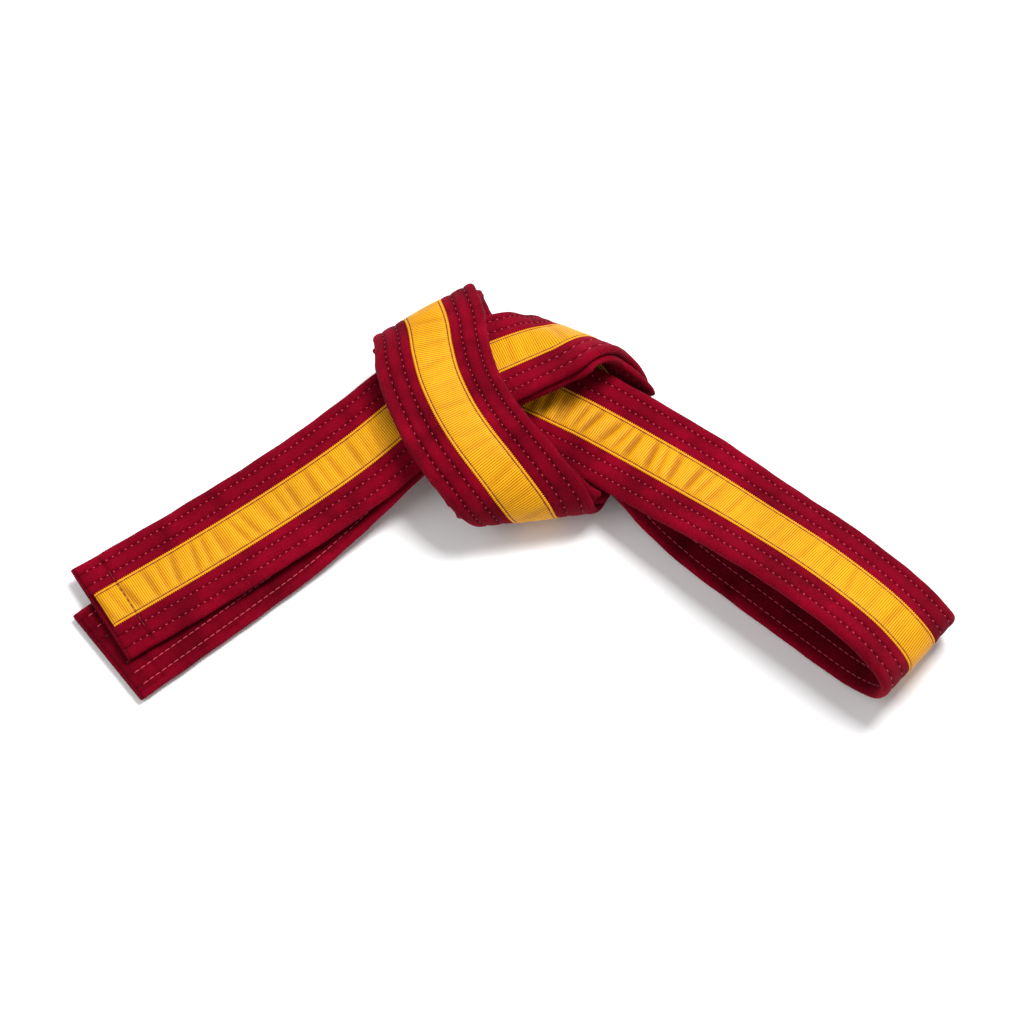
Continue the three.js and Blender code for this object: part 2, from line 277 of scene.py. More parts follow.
def strap_frames(rows):
    """Point, travel, across and outward for each row, and how far a slanted width reaches."""
    rows = np.array(rows)
    travel = unit(np.gradient(rows[:, :3], axis=0))
    across = unit(rows[:, 3:])
    outward = np.cross(travel, across)
    slant = 1 / np.linalg.norm(outward, axis=1)
    return rows[:, :3], travel, across, unit(outward), slant


def layer_rows(rows, offset):
    """One layer of the doubled strap: the rows moved outward by an offset."""
    point, _, across, outward, _ = strap_frames(rows)
    return list(np.hstack([point + outward * offset, across]))


print("rows between two stations:", SAMPLES)

# %% [markdown]
# The belt is put together in the order in which it runs: upper end, outer layer of the knot,
# loop, inner layer of the knot, lower end. Each stretch of spline starts and ends on rows of
# its neighbour, so there is no kink where they meet.

# %% The whole belt as rows
TIP_RUN = 40  # straight rows before the first tip and after the last
LEAN_REACH = 30  # mm over which the rulings are smoothed
LEAN_WIDTH = 11
doubled = spline([station_row(s) for s in KNOT]) + [station_row(KNOT[-1])]
outer = layer_rows(doubled, LAYER_PITCH / 2)
inner = layer_rows(doubled, -LAYER_PITCH / 2)
upper_rows = spline([*map(station_row, UPPER_TAIL_RUN), outer[0], outer[SAMPLES]])[:-SAMPLES]
lower_rows = spline([*map(station_row, LOWER_TAIL_RUN), inner[0], inner[SAMPLES]])[:-SAMPLES]
loop_ends = [outer[-1 - SAMPLES], outer[-1]], [inner[-1], inner[-1 - SAMPLES]]
loop_rows = spline([*loop_ends[0], *map(station_row, LOOP_RUN), *loop_ends[1]])
belt_rows = upper_rows + outer + loop_rows[SAMPLES + 1:-SAMPLES] + inner[::-1] + lower_rows[::-1]
run_out = np.arange(TIP_RUN, 0, -1)[:, None]
before_tip = belt_rows[0] + run_out * (belt_rows[0] - belt_rows[1])
after_tip = belt_rows[-1] + run_out[::-1] * (belt_rows[-1] - belt_rows[-2])
ROUTE = np.vstack([before_tip, belt_rows, after_tip])
POINT, TRAVEL, ACROSS, OUTWARD, SLANT = strap_frames(ROUTE)
STEP = np.linalg.norm(np.diff(POINT, axis=0), axis=1)
DISTANCE = np.concatenate([[0], np.cumsum(STEP)])
EVEN = np.arange(0, DISTANCE[-1], MM)
ruling_lead = np.interp(EVEN, DISTANCE, SLANT * np.sum(TRAVEL * ACROSS, axis=1))
reach = np.arange(-LEAN_REACH, LEAN_REACH + 1)
weights = np.exp(-((reach / LEAN_WIDTH) ** 2))
padded = np.pad(ruling_lead, LEAN_REACH, mode="edge")
ruling_lead = np.convolve(padded, weights / weights.sum(), mode="valid")
LEAN = np.interp(DISTANCE, EVEN, ruling_lead)  # how far a ruling runs ahead per unit of width
print("length of the route, mm:", round(DISTANCE[-1] / MM))

# %% [markdown]
# A woven strap keeps its crosswise threads square to its edges, but where it folds on a slant
# the straight lines across the fold don't lie along those threads. `lay` therefore takes cloth
# coordinates, the distance along the strap and the distance from its middle, and looks for the
# straight line that passes through that spot of the cloth.

# %% Laying a spot of cloth in space
LAY_ROUNDS = 10  # enough for the search to settle


def at(distance, values):
    """A value of the route, or a column of it, at the given distances."""
    if values.ndim == 1:
        return np.interp(distance, DISTANCE, values)
    return np.stack([np.interp(distance, DISTANCE, column) for column in values.T], axis=-1)


def lay(along, across, height):
    """Points of the strap: distance along, distance from the middle, height over the middle."""
    along, across, height = np.broadcast_arrays(along, across, height)
    ruling = along.astype(float)
    for _ in range(LAY_ROUNDS):
        ruling = 0.5 * ruling + 0.5 * (along - across * at(ruling, LEAN))
    reach = (across * at(ruling, SLANT))[..., None]
    return at(ruling, POINT) + at(ruling, ACROSS) * reach + at(ruling, OUTWARD) * height[..., None]


def crossing(bend, first, step):
    """Distance at which the route first crosses a bend line, going one way from a row."""
    turn = math.radians(bend[2])
    offset = POINT[:, :2] - [bend[0] - MIDDLE[0], bend[1] - MIDDLE[1]]
    side = offset[:, 0] * math.sin(turn) - offset[:, 1] * math.cos(turn)
    i = first
    while side[i] * side[first] > 0:
        i += step
    return DISTANCE[i]


UPPER_TIP = crossing(UPPER_BEND, 0, 1) - UPPER_TAIL
LOWER_TIP = crossing(LOWER_BEND, len(DISTANCE) - 1, -1) + LOWER_TAIL
outer_start = len(before_tip) + len(upper_rows)
inner_end = outer_start + len(outer) + len(loop_rows) - 2 * SAMPLES - 1 + len(inner) - 1
OUTER_CUT = DISTANCE[outer_start + LOWEST_PASS * SAMPLES]
INNER_CUT = DISTANCE[inner_end - LOWEST_PASS * SAMPLES]
STRETCHES = {
    "upper_end": (UPPER_TIP, OUTER_CUT),
    "middle": (OUTER_CUT, INNER_CUT),
    "lower_end": (INNER_CUT, LOWER_TIP),
}
print("belt length, mm:", round((LOWER_TIP - UPPER_TIP) / MM))
print("stretches, mm:", {name: round((b - a) / MM) for name, (a, b) in STRETCHES.items()})

# %% [markdown]
# ## Soft unevenness
# Sewn cloth is never quite regular. A sum of a few long sine waves with seeded phases gives
# each channel its own gentle swell, and it is the same on every run.

# %% Seeded swell along the strap
WAVE_SHARE = 0.7  # between a plain sum and a mean of the waves


def swell(along, name, waves):
    """Smooth values of about -1 to 1 along the strap; waves are wavelengths in metres."""
    phases = random.Random(name)
    total = sum(np.sin(2 * math.pi * along / w + phases.uniform(0, 2 * math.pi)) for w in waves)
    return total / len(waves) ** WAVE_SHARE


print("swell sample:", np.round(swell(np.arange(3) * 0.01, "test", [0.009, 0.014]), 2))

# %% [markdown]
# ## The height of the quilted cloth
# Between two rows of stitching the batting pushes the cloth up into a rounded channel, and the
# stitches pull it down into a groove, deepest at the holes. Under the ribbon the cloth is
# pressed flat, and the long edges are round. The same rows show on both faces, since every
# stitch goes right through the strap.

# %% Sizes of the quilting
GROOVE = 1.35 * MM
TIGHT_DEPTH = 0.35 * MM
FRONT_RIDGE = 1.8 * MM
BACK_RIDGE = 1.6 * MM
FULLNESS = 0.4  # below 0.5 the channels are flat on top with narrow grooves
UNDER_RIBBON = 1.25 * MM
HOLE_DIP = 0.1 * MM
EDGE_ROUNDING = 2.4 * MM
TACK_GROOVE = 0.28 * MM
TACK_WIDTH = 0.7 * MM
TACK_ON_BACK = 0.6  # share of the groove that shows on the plain face
TIGHT_PLACE = 0.405  # from the upper tip
TIGHT_REACH = 0.075
PRESSED_TO = 8.6 * MM  # flat under the ribbon, from the middle line
PRESSED_FADE = 0.9 * MM
CHANNEL_SWELL = 0.09 * MM
CHANNEL_WAVES = [0.0085, 0.0123, 0.021]
CHANNELS = [0, EDGE_ROW, *RED_ROWS, HALF_WIDTH]
print("widths of the channels, mm:", np.round(np.diff(CHANNELS) / MM, 1))


# %% Height of the cover's two faces
def tack_dip(along):
    """How deep the cross stitching near each tip pulls the cloth down."""
    upper = along - UPPER_TIP - TACK_INSET
    lower = LOWER_TIP - TACK_INSET - along
    nearest = np.minimum(np.abs(upper), np.abs(lower))
    return TACK_GROOVE * np.exp(-(nearest / TACK_WIDTH) ** 2)


def tightness(along):
    """One where the strap is pulled tight over the top of the knot, and nothing far from it."""
    return np.exp(-((along - UPPER_TIP - TIGHT_PLACE) / TIGHT_REACH) ** 4)


def channel_height(along, across, ridge, name):
    """Height of quilted cloth: rounded channels between the rows and a round outer edge."""
    size = np.abs(across)
    side = "right" if across > 0 else "left"
    number = int(np.searchsorted(CHANNELS, size, side="right")) - 1
    number = min(max(number, 0), len(CHANNELS) - 2)
    low, high = CHANNELS[number], CHANNELS[number + 1]
    lift = swell(along, f"{name}{side}{number}", CHANNEL_WAVES)
    ridge = ridge + CHANNEL_SWELL * lift
    holes = HOLE_DIP * np.cos(2 * math.pi * along / STITCH)
    if number == 0:
        low = -EDGE_ROW
    if number == len(CHANNELS) - 2:
        start = HALF_WIDTH - EDGE_ROUNDING
        if size >= start:
            round_off = math.sqrt(max(0, 1 - ((size - start) / EDGE_ROUNDING) ** 2))
            return ridge * round_off + 0 * along
        share = 0.5 * (size - low) / (start - low)
    else:
        share = (size - low) / (high - low)
    arch = max(0, 4 * share * (1 - share)) ** FULLNESS
    groove = GROOVE - holes - TIGHT_DEPTH * tightness(along)
    return groove * (1 - arch) + ridge * arch


def front_height(along, across):
    """The face with the ribbon."""
    height = channel_height(along, across, FRONT_RIDGE, "front")
    size = abs(across)
    pressed = np.clip((PRESSED_TO - size) / PRESSED_FADE, 0, 1)
    return height * (1 - pressed) + UNDER_RIBBON * pressed - tack_dip(along)


def back_height(along, across):
    """The plain face."""
    return -(channel_height(along, across, BACK_RIDGE, "back") - TACK_ON_BACK * tack_dip(along))


sample = [front_height(np.array([0.3]), w)[0] / MM for w in (0, *RED_ROWS, HALF_WIDTH - MM)]
print("front heights at the middle, both rows and the edge, mm:", np.round(sample, 2))

# %% [markdown]
# ## Mesh helpers
# A stretch of strap is a grid of rings of points. On the surfaces that show, the rings are less
# than a millimetre apart. The grid also gets a UV map in metres, so that the weave and the ribs
# in the materials follow the cloth round every fold.

# %% Building meshes from rings
SMOOTH_ANGLE = 70  # degrees


def ring_faces(rings, around, first=0, turned=False):
    """Quads between successive rings of points, each ring closed."""
    i = np.arange(rings - 1)[:, None] * around
    j = np.arange(around)[None, :]
    k = (j + 1) % around
    corners = [i + j, i + k, i + around + k, i + around + j]
    faces = np.stack(np.broadcast_arrays(*corners), axis=-1).reshape(-1, 4) + first
    return faces[:, ::-1] if turned else faces


def end_faces(count, total):
    """The two flat ends of a swept piece, as the first and the last ring of its points."""
    return [list(range(count)), list(range(total - 1, total - 1 - count, -1))]


def cloth_grid(along, across):
    """Cloth coordinates of a grid, one row to a ring."""
    return np.stack(np.broadcast_arrays(along[:, None], across), axis=-1).reshape(-1, 2)


def point_value(piece, name, values):
    """Gives every point of a piece a number that its material can read."""
    attribute = piece.data.attributes.new(name, "FLOAT", "POINT")
    attribute.data.foreach_set("value", np.asarray(values, dtype=np.float32).ravel())


def mesh_piece(name, points, faces, cloth, material, smooth_angle=SMOOTH_ANGLE):
    """A new object from points and faces, with cloth coordinates as its UV map."""
    mesh = bpy.data.meshes.new(name)
    corners = [f if isinstance(f, list) else f.tolist() for f in faces]
    mesh.from_pydata(points.tolist(), [], corners)
    if cloth is not None:
        corner = np.empty(len(mesh.loops), dtype=np.int32)
        mesh.loops.foreach_get("vertex_index", corner)
        layer = mesh.uv_layers.new(name="cloth")
        layer.data.foreach_set("uv", cloth[corner].astype(np.float32).ravel())
    piece = bpy.data.objects.new(name, mesh)
    scene.collection.objects.link(piece)
    mesh.materials.append(material)
    bpy.context.view_layer.objects.active = piece
    piece.select_set(True)
    bpy.ops.object.shade_smooth_by_angle(angle=math.radians(smooth_angle))
    piece.select_set(False)
    return piece


def spaced(start, end, pitch):
    """Evenly spaced distances from start to end, about a pitch apart."""
    return np.linspace(start, end, max(2, round((end - start) / pitch) + 1))


print("faces between two rings of four points:", len(ring_faces(2, 4)))

# %% [markdown]
# ## Shader groups
# Two effects are used by more than one material, so each is a node group. `fibre_variation`
# mottles a colour the way yarn takes dye unevenly. `crossed_weave` gives the fine diagonal ridges
# of twill, as a height for a Bump node and as a mask that darkens the furrows.

# %% Node helpers
def new_material(name):
    """A material with its tree and its Principled BSDF."""
    material = bpy.data.materials.new(name)
    material.use_nodes = True
    return material, material.node_tree, material.node_tree.nodes["Principled BSDF"]


def new_group(name, inputs, outputs):
    """An empty shader group with named sockets, and its input and output nodes."""
    group = bpy.data.node_groups.new(name, "ShaderNodeTree")
    for label, kind, value in inputs:
        socket = group.interface.new_socket(label, in_out="INPUT", socket_type=kind)
        if value is not None:
            socket.default_value = value
    for label, kind in outputs:
        group.interface.new_socket(label, in_out="OUTPUT", socket_type=kind)
    return group, group.nodes.new("NodeGroupInput"), group.nodes.new("NodeGroupOutput")


def math_node(tree, operation, first, second=None):
    """A Math node fed by sockets or numbers; returns its output."""
    node = tree.nodes.new("ShaderNodeMath")
    node.operation = operation
    for i, value in enumerate((first, second)):
        if isinstance(value, bpy.types.NodeSocket):
            tree.links.new(value, node.inputs[i])
        elif value is not None:
            node.inputs[i].default_value = value
    return node.outputs[0]


def mix_colours(tree, share, first, second, blend="MIX"):
    """A colour Mix node fed by sockets or values; returns its output."""
    node = tree.nodes.new("ShaderNodeMix")
    node.data_type = "RGBA"
    node.blend_type = blend
    for label, value in (("Factor", share), ("A", first), ("B", second)):
        socket = next(s for s in node.inputs if s.name == label and s.enabled)
        if isinstance(value, bpy.types.NodeSocket):
            tree.links.new(value, socket)
        else:
            socket.default_value = value
    return next(s for s in node.outputs if s.enabled)


print("materials so far:", [m.name for m in bpy.data.materials])


# %% Textures on the cloth
def noise(tree, vector, scale, detail=2.0, roughness=0.5):
    """A Noise Texture's factor on given coordinates."""
    node = tree.nodes.new("ShaderNodeTexNoise")
    node.inputs["Scale"].default_value = scale
    node.inputs["Detail"].default_value = detail
    node.inputs["Roughness"].default_value = roughness
    tree.links.new(vector, node.inputs["Vector"])
    return node.outputs[0]


def cloth_axes(tree):
    """The cloth's UV map as two sockets: along the strap and across it, in metres."""
    uv = tree.nodes.new("ShaderNodeUVMap")
    uv.uv_map = "cloth"
    split = tree.nodes.new("ShaderNodeSeparateXYZ")
    tree.links.new(uv.outputs[0], split.inputs[0])
    return split.outputs["X"], split.outputs["Y"]


print("cloth coordinates are in metres, so one rib is", RIB)

# %% The two groups
SLOW_MOTTLE = (55, 3)  # scale and detail of the noise
FINE_SPECKLE = (1500, 2, 0.7)  # and its roughness
SLOW_SHARE, FINE_SHARE = 1.2, 0.8
RIDGE_SHARE, YARN_SHARE = 0.35, 0.15


def fibre_variation_group():
    """Uneven dye: a slow mottle and a fine speckle, as one colour."""
    group, source, result = new_group(
        "fibre_variation",
        [("Colour", "NodeSocketColor", (0.5, 0.5, 0.5, 1)), ("Vector", "NodeSocketVector", None),
         ("Strength", "NodeSocketFloat", 0.3)],
        [("Colour", "NodeSocketColor")],
    )
    slow = noise(group, source.outputs["Vector"], *SLOW_MOTTLE)
    fine = noise(group, source.outputs["Vector"], *FINE_SPECKLE)
    slow = math_node(group, "MULTIPLY", slow, SLOW_SHARE)
    fine = math_node(group, "MULTIPLY", fine, FINE_SHARE)
    both = math_node(group, "ADD", slow, fine)
    centred = math_node(group, "SUBTRACT", both, 1.0)
    scaled = math_node(group, "MULTIPLY", centred, source.outputs["Strength"])
    level = math_node(group, "ADD", scaled, 1.0)
    spread = group.nodes.new("ShaderNodeCombineColor")
    for channel in ("Red", "Green", "Blue"):
        group.links.new(level, spread.inputs[channel])
    mixed = mix_colours(group, 1.0, source.outputs["Colour"], spread.outputs[0], "MULTIPLY")
    group.links.new(mixed, result.inputs["Colour"])
    return group


def crossed_weave_group():
    """Diagonal twill ridges from the cloth coordinates: a height from 0 to 1."""
    group, source, result = new_group(
        "crossed_weave",
        [("Along", "NodeSocketFloat", 0.0), ("Across", "NodeSocketFloat", 0.0),
         ("Pitch", "NodeSocketFloat", 0.0007)],
        [("Height", "NodeSocketFloat")],
    )
    slope = math_node(group, "ADD", source.outputs["Along"], source.outputs["Across"])
    turns = math_node(group, "DIVIDE", slope, source.outputs["Pitch"])
    ridge = math_node(group, "SINE", math_node(group, "MULTIPLY", turns, 2 * math.pi))
    yarn = math_node(group, "DIVIDE", source.outputs["Across"], source.outputs["Pitch"])
    cross = math_node(group, "SINE", math_node(group, "MULTIPLY", yarn, 4 * math.pi))
    ridge = math_node(group, "MULTIPLY", ridge, RIDGE_SHARE)
    cross = math_node(group, "MULTIPLY", cross, YARN_SHARE)
    both = math_node(group, "ADD", ridge, cross)
    group.links.new(math_node(group, "ADD", both, 0.5), result.inputs["Height"])
    return group


FIBRES = fibre_variation_group()
WEAVE = crossed_weave_group()
print("shader groups:", FIBRES.name, "and", WEAVE.name)

# %% [markdown]
# ## Red cotton twill
# Belt cotton is dyed a deep crimson and has a dry, slightly fuzzy surface. It shines only at
# grazing angles, which the sheen does. The grooves between the channels get painted shade, and the
# tops of the channels are a little paler with wear, so the cover's mesh carries a `ridge` attribute
# that says how high each spot stands.

# %% Helpers for the materials
DYE = {"cotton": 1.5, "thread": 0.5, "batting": 0.3, "ribbon": 0.4}  # how uneven each one is


def set_look(shader, look):
    """Sets several inputs of a shader."""
    for label, value in look.items():
        shader.inputs[label].default_value = value


def place_group(tree, group):
    """A group node in a material's tree."""
    node = tree.nodes.new("ShaderNodeGroup")
    node.node_tree = group
    return node


def object_vector(tree):
    """Object coordinates."""
    return tree.nodes.new("ShaderNodeTexCoord").outputs["Object"]


def varied(tree, colour, strength):
    """A colour socket or value passed through the fibre variation."""
    node = place_group(tree, FIBRES)
    if isinstance(colour, bpy.types.NodeSocket):
        tree.links.new(colour, node.inputs["Colour"])
    else:
        node.inputs["Colour"].default_value = colour
    node.inputs["Strength"].default_value = strength
    tree.links.new(object_vector(tree), node.inputs["Vector"])
    return node.outputs["Colour"]


def bump(tree, shader, height, distance, strength=1.0):
    """Feeds a height to the shader's normal."""
    node = tree.nodes.new("ShaderNodeBump")
    node.inputs["Distance"].default_value = distance
    node.inputs["Strength"].default_value = strength
    tree.links.new(height, node.inputs["Height"])
    tree.links.new(node.outputs["Normal"], shader.inputs["Normal"])


print("uneven dye:", DYE)

# %% Cotton
TWILL_PITCH = 0.75 * MM
TWILL_BUMP = 0.2 * MM
FURROW_SHADE = 0.35
FUZZ = (2600, 2, 0.6)  # scale, detail and roughness of the noise
FUZZ_SHARE = 0.8
# the groove colour is painted shade, for the grooves and the twill furrows; the ridge colour is the
# crimson cloth with a little wear
COTTON_GROOVE, COTTON_RIDGE = (0.065, 0.0003, 0.003, 1), (0.2, 0.001, 0.011, 1)
COTTON_LOOK = {
    "Roughness": 0.88,
    "Specular IOR Level": 0.12,
    "Specular Tint": (1.0, 0.2, 0.3, 1),
    "Sheen Weight": 0.1,
    "Sheen Roughness": 0.45,
    "Sheen Tint": (1.0, 0.06, 0.16, 1),
}


def cotton_twill(name, groove_colour, ridge_colour):
    """Dyed twill, with painted shade in its grooves and twill furrows, and paler, worn ridges."""
    material, tree, shader = new_material(name)
    along, across = cloth_axes(tree)
    weave = place_group(tree, WEAVE)
    weave.inputs["Pitch"].default_value = TWILL_PITCH
    tree.links.new(along, weave.inputs["Along"])
    tree.links.new(across, weave.inputs["Across"])
    ridge = tree.nodes.new("ShaderNodeAttribute")
    ridge.attribute_name = "ridge"
    # painted shade in the grooves, paler worn cloth on the channel tops
    groove_shade_and_wear = mix_colours(tree, ridge.outputs["Fac"], groove_colour, ridge_colour)
    depth = math_node(tree, "SUBTRACT", 1.0, weave.outputs["Height"])
    shade = math_node(tree, "MULTIPLY", depth, FURROW_SHADE)
    furrowed = mix_colours(tree, shade, groove_shade_and_wear, groove_colour)
    tree.links.new(varied(tree, furrowed, DYE["cotton"]), shader.inputs["Base Color"])
    fuzz = math_node(tree, "MULTIPLY", noise(tree, object_vector(tree), *FUZZ), FUZZ_SHARE)
    height = math_node(tree, "ADD", weave.outputs["Height"], fuzz)
    bump(tree, shader, height, TWILL_BUMP)
    set_look(shader, COTTON_LOOK)
    return material


RED_COTTON = cotton_twill("red_cotton_twill", COTTON_GROOVE, COTTON_RIDGE)
print("twill ridges in 10 mm:", round(10 * MM / TWILL_PITCH, 1))

# %% Thread and batting
THREAD_TWIST = (3500, 1)
THREAD_BUMP = 0.04 * MM
THREAD_LOOK = {"Roughness": 0.6, "Specular IOR Level": 0.35}
BATTING_FLUFF = (700, 4, 0.7)
BATTING_BUMP = 0.3 * MM
BATTING_COLOUR = (0.8, 0.77, 0.7, 1)
BATTING_LOOK = {"Roughness": 0.95}


def thread(name, colour):
    """Twisted sewing thread."""
    material, tree, shader = new_material(name)
    tree.links.new(varied(tree, colour, DYE["thread"]), shader.inputs["Base Color"])
    bump(tree, shader, noise(tree, object_vector(tree), *THREAD_TWIST), THREAD_BUMP)
    set_look(shader, THREAD_LOOK)
    return material


def cotton_batting(name):
    """Loose white cotton."""
    material, tree, shader = new_material(name)
    tree.links.new(varied(tree, BATTING_COLOUR, DYE["batting"]), shader.inputs["Base Color"])
    bump(tree, shader, noise(tree, object_vector(tree), *BATTING_FLUFF), BATTING_BUMP)
    set_look(shader, BATTING_LOOK)
    return material


RED_THREAD = thread("light_red_thread", (0.52, 0.04, 0.075, 1))
DARK_THREAD = thread("dark_red_thread", (0.09, 0.012, 0.003, 1))
TACK_THREAD = thread("deep_red_thread", (0.13, 0.003, 0.004, 1))
BATTING = cotton_batting("cotton_batting")
print("threads:", RED_THREAD.name, DARK_THREAD.name, TACK_THREAD.name)

# %% [markdown]
# ## Gold grosgrain
# Grosgrain has a thick rib every 0.86 mm and thin furrows between. The ribs are real
# geometry, and the material adds what is finer: a dark line of painted shade in each furrow,
# painted shade in the hollows between the puckers, the filaments that run along each rib, and a
# warmer, more orange colour in the selvedge outside the stitching.

# %% Ribbon material
GOLD = (0.75, 0.33, 0.004, 1)
GOLD_HOLLOW_SHADE = (0.3, 0.09, 0.001, 1)  # painted shade in the hollows between the puckers
# painted shade: the dark line in each furrow between the ribs
GOLD_RIB_FURROW_SHADE = (0.14, 0.03, 0.0004, 1)
GOLD_SELVEDGE = (0.82, 0.29, 0.009, 1)
SEAM_SHADOW = (0.12, 0.025, 0.001, 1)
FURROW_START, FURROW_GAIN = -0.2, 1.1
SELVEDGE_START, SELVEDGE_FADE, SELVEDGE_SHARE = 7.1 * MM, 0.25 * MM, 0.75
SEAM_REACH, SEAM_SHARE = 0.42 * MM, 0.9
FILAMENTS_ALONG, FILAMENTS_ACROSS = 9000, 700  # noise cells per metre
FILAMENT_BUMP = 0.05 * MM
RIBBON_LOOK = {
    "Roughness": 0.5,
    "Specular IOR Level": 0.3,
    "Specular Tint": (1.0, 0.75, 0.3, 1),
}


def grosgrain(name):
    """Ribbed gold ribbon with a satin gloss."""
    material, tree, shader = new_material(name)
    along, across = cloth_axes(tree)
    # painted shade along each furrow between the ribs
    turns = math_node(tree, "MULTIPLY", along, 2 * math.pi / RIB)
    wave = math_node(tree, "COSINE", turns)
    rib_furrow_shade = math_node(tree, "SUBTRACT", FURROW_START, wave)
    rib_furrow_shade = math_node(tree, "MULTIPLY", math_node(tree, "MAXIMUM", rib_furrow_shade, 0.0), FURROW_GAIN)
    size = math_node(tree, "ABSOLUTE", across)
    beyond = math_node(tree, "SUBTRACT", size, SELVEDGE_START)
    selvedge = math_node(tree, "MULTIPLY", beyond, 1 / SELVEDGE_FADE)
    selvedge = math_node(tree, "MAXIMUM", selvedge, 0.0)
    selvedge = math_node(tree, "MINIMUM", selvedge, SELVEDGE_SHARE)
    # painted shade where the ribbon dips between its puckers
    hollow_shade = tree.nodes.new("ShaderNodeAttribute")
    hollow_shade.attribute_name = "hollow_shade"
    body = mix_colours(tree, hollow_shade.outputs["Fac"], GOLD, GOLD_HOLLOW_SHADE)
    ribbed = mix_colours(tree, rib_furrow_shade, body, GOLD_RIB_FURROW_SHADE)
    edged = mix_colours(tree, selvedge, ribbed, GOLD_SELVEDGE)
    off_row = math_node(tree, "ABSOLUTE", math_node(tree, "SUBTRACT", size, EDGE_ROW))
    seam = math_node(tree, "SUBTRACT", 1.0, math_node(tree, "MULTIPLY", off_row, 1 / SEAM_REACH))
    seam = math_node(tree, "MULTIPLY", math_node(tree, "MAXIMUM", seam, 0.0), SEAM_SHARE)
    sewn = mix_colours(tree, seam, edged, SEAM_SHADOW)
    tree.links.new(varied(tree, sewn, DYE["ribbon"]), shader.inputs["Base Color"])
    stretch = tree.nodes.new("ShaderNodeCombineXYZ")
    tree.links.new(math_node(tree, "MULTIPLY", along, FILAMENTS_ALONG), stretch.inputs["X"])
    tree.links.new(math_node(tree, "MULTIPLY", across, FILAMENTS_ACROSS), stretch.inputs["Y"])
    filament = noise(tree, stretch.outputs[0], 1.0, 2)
    bump(tree, shader, filament, FILAMENT_BUMP)
    set_look(shader, RIBBON_LOOK)
    return material


GOLD_RIBBON = grosgrain("gold_grosgrain")
print("materials:", [m.name for m in bpy.data.materials])

# %% [markdown]
# ## How each piece belongs to the knot, the loop and the free ends
# The free ends and the loop can be lifted from the knot. Each long piece is made in only three
# stretches, and they meet in the lowest pass, which the knot hides.

# %% Stretches and the nodes each piece stands for
CAD_STRETCHES = {
    "upper_end": ["upper_tail"],
    "middle": ["knot_outer_layer", "loop", "knot_inner_layer"],
    "lower_end": ["lower_tail"],
}


def belongs(piece, stretch, part):
    """Bakes a piece's placement into its points, and lets it stand for the CAD nodes of that part
    by hiding them.
    """
    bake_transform(piece)
    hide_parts(*[f"{node}_{part}" for node in CAD_STRETCHES[stretch]])


print("CAD stretches:", sum(len(nodes) for nodes in CAD_STRETCHES.values()))

# %% [markdown]
# ## The cover
# The cover is a flat tube of cloth with a thin wall, open at the cut ends and filled with batting.
# Its outside is a fine grid that follows the quilting. Its inside is a plain grid, half as fine,
# and the two are bridged at the ends. Points stand closer together at the stitch rows, where the
# cloth turns most.

# %% The cover's outline
RING_STEP = 0.86 * MM
WALL_INSIDE = 0.62 * MM
EDGE_WAVER = 0.12 * MM
EDGE_WAVES = [0.017, 0.031]
INSIDE_ROW = [(-21, 0), (-20.4, 1), (-14, 1), (-7, 1), (0, 1), (7, 1), (14, 1), (20.4, 1),
              (21, 0), (20.4, -1), (14, -1), (7, -1), (0, -1), (-7, -1), (-14, -1), (-20.4, -1)]
FRONT_PLACES = [0, 5, 7, 8.1, 8.6, 9.4, 10.4, 11.4, 12, 12.2, 12.4, 13, 14, 15.1, 16.2, 17.2, 17.8,
                18, 18.2, 18.7, 19.4, 20.1, 21, 21.7, 22.2]
BACK_PLACES = [0, 3, 5.4, 6.6, 6.9, 7.2, 8, 9.5, 11, 11.9, 12.2, 12.5, 13.4, 15.1, 16.8, 17.7, 18,
               18.3, 19, 20.1, 21, 21.7, 22.2]


def both_sides(places):
    """Places from the left edge to the right edge, in metres."""
    return [-w * MM for w in places[:0:-1]] + [w * MM for w in places]


def cover_ring(along):
    """Across and height of every point of the cover's outside, ring after ring."""
    waver = EDGE_WAVER * swell(along, "edge", EDGE_WAVES)
    columns = [(w, front_height(along, w)) for w in both_sides(FRONT_PLACES)]
    columns.append((HALF_WIDTH, 0 * along))
    columns += [(w, back_height(along, w)) for w in both_sides(BACK_PLACES)[::-1]]
    columns.append((-HALF_WIDTH, 0 * along))
    across = np.stack([w + waver * (w / HALF_WIDTH) ** 3 for w, _ in columns], axis=1)
    height = np.stack([h for _, h in columns], axis=1)
    return across, height


print("points round the outside:", cover_ring(np.array([0.3]))[0].shape[1])


# %% Cover pieces
def close_tube(piece):
    """Bridges the outside and the inside of a tube at both open ends."""
    cloth = bmesh.new()
    cloth.from_mesh(piece.data)
    rims = [e for e in cloth.edges if e.is_boundary]
    middle = sum((e.verts[0].co for e in rims), Vector()) / len(rims)
    first = rims[0].verts[0].co.copy()
    other = 2 * middle - first
    near = [e for e in rims if (e.verts[0].co - first).length < (e.verts[0].co - other).length]
    for end in (near, [e for e in rims if e not in set(near)]):
        bmesh.ops.bridge_loops(cloth, edges=end)
    bmesh.ops.recalc_face_normals(cloth, faces=cloth.faces)
    print(piece.name, "open edges left:", sum(e.is_boundary for e in cloth.edges))
    cloth.to_mesh(piece.data)
    cloth.free()


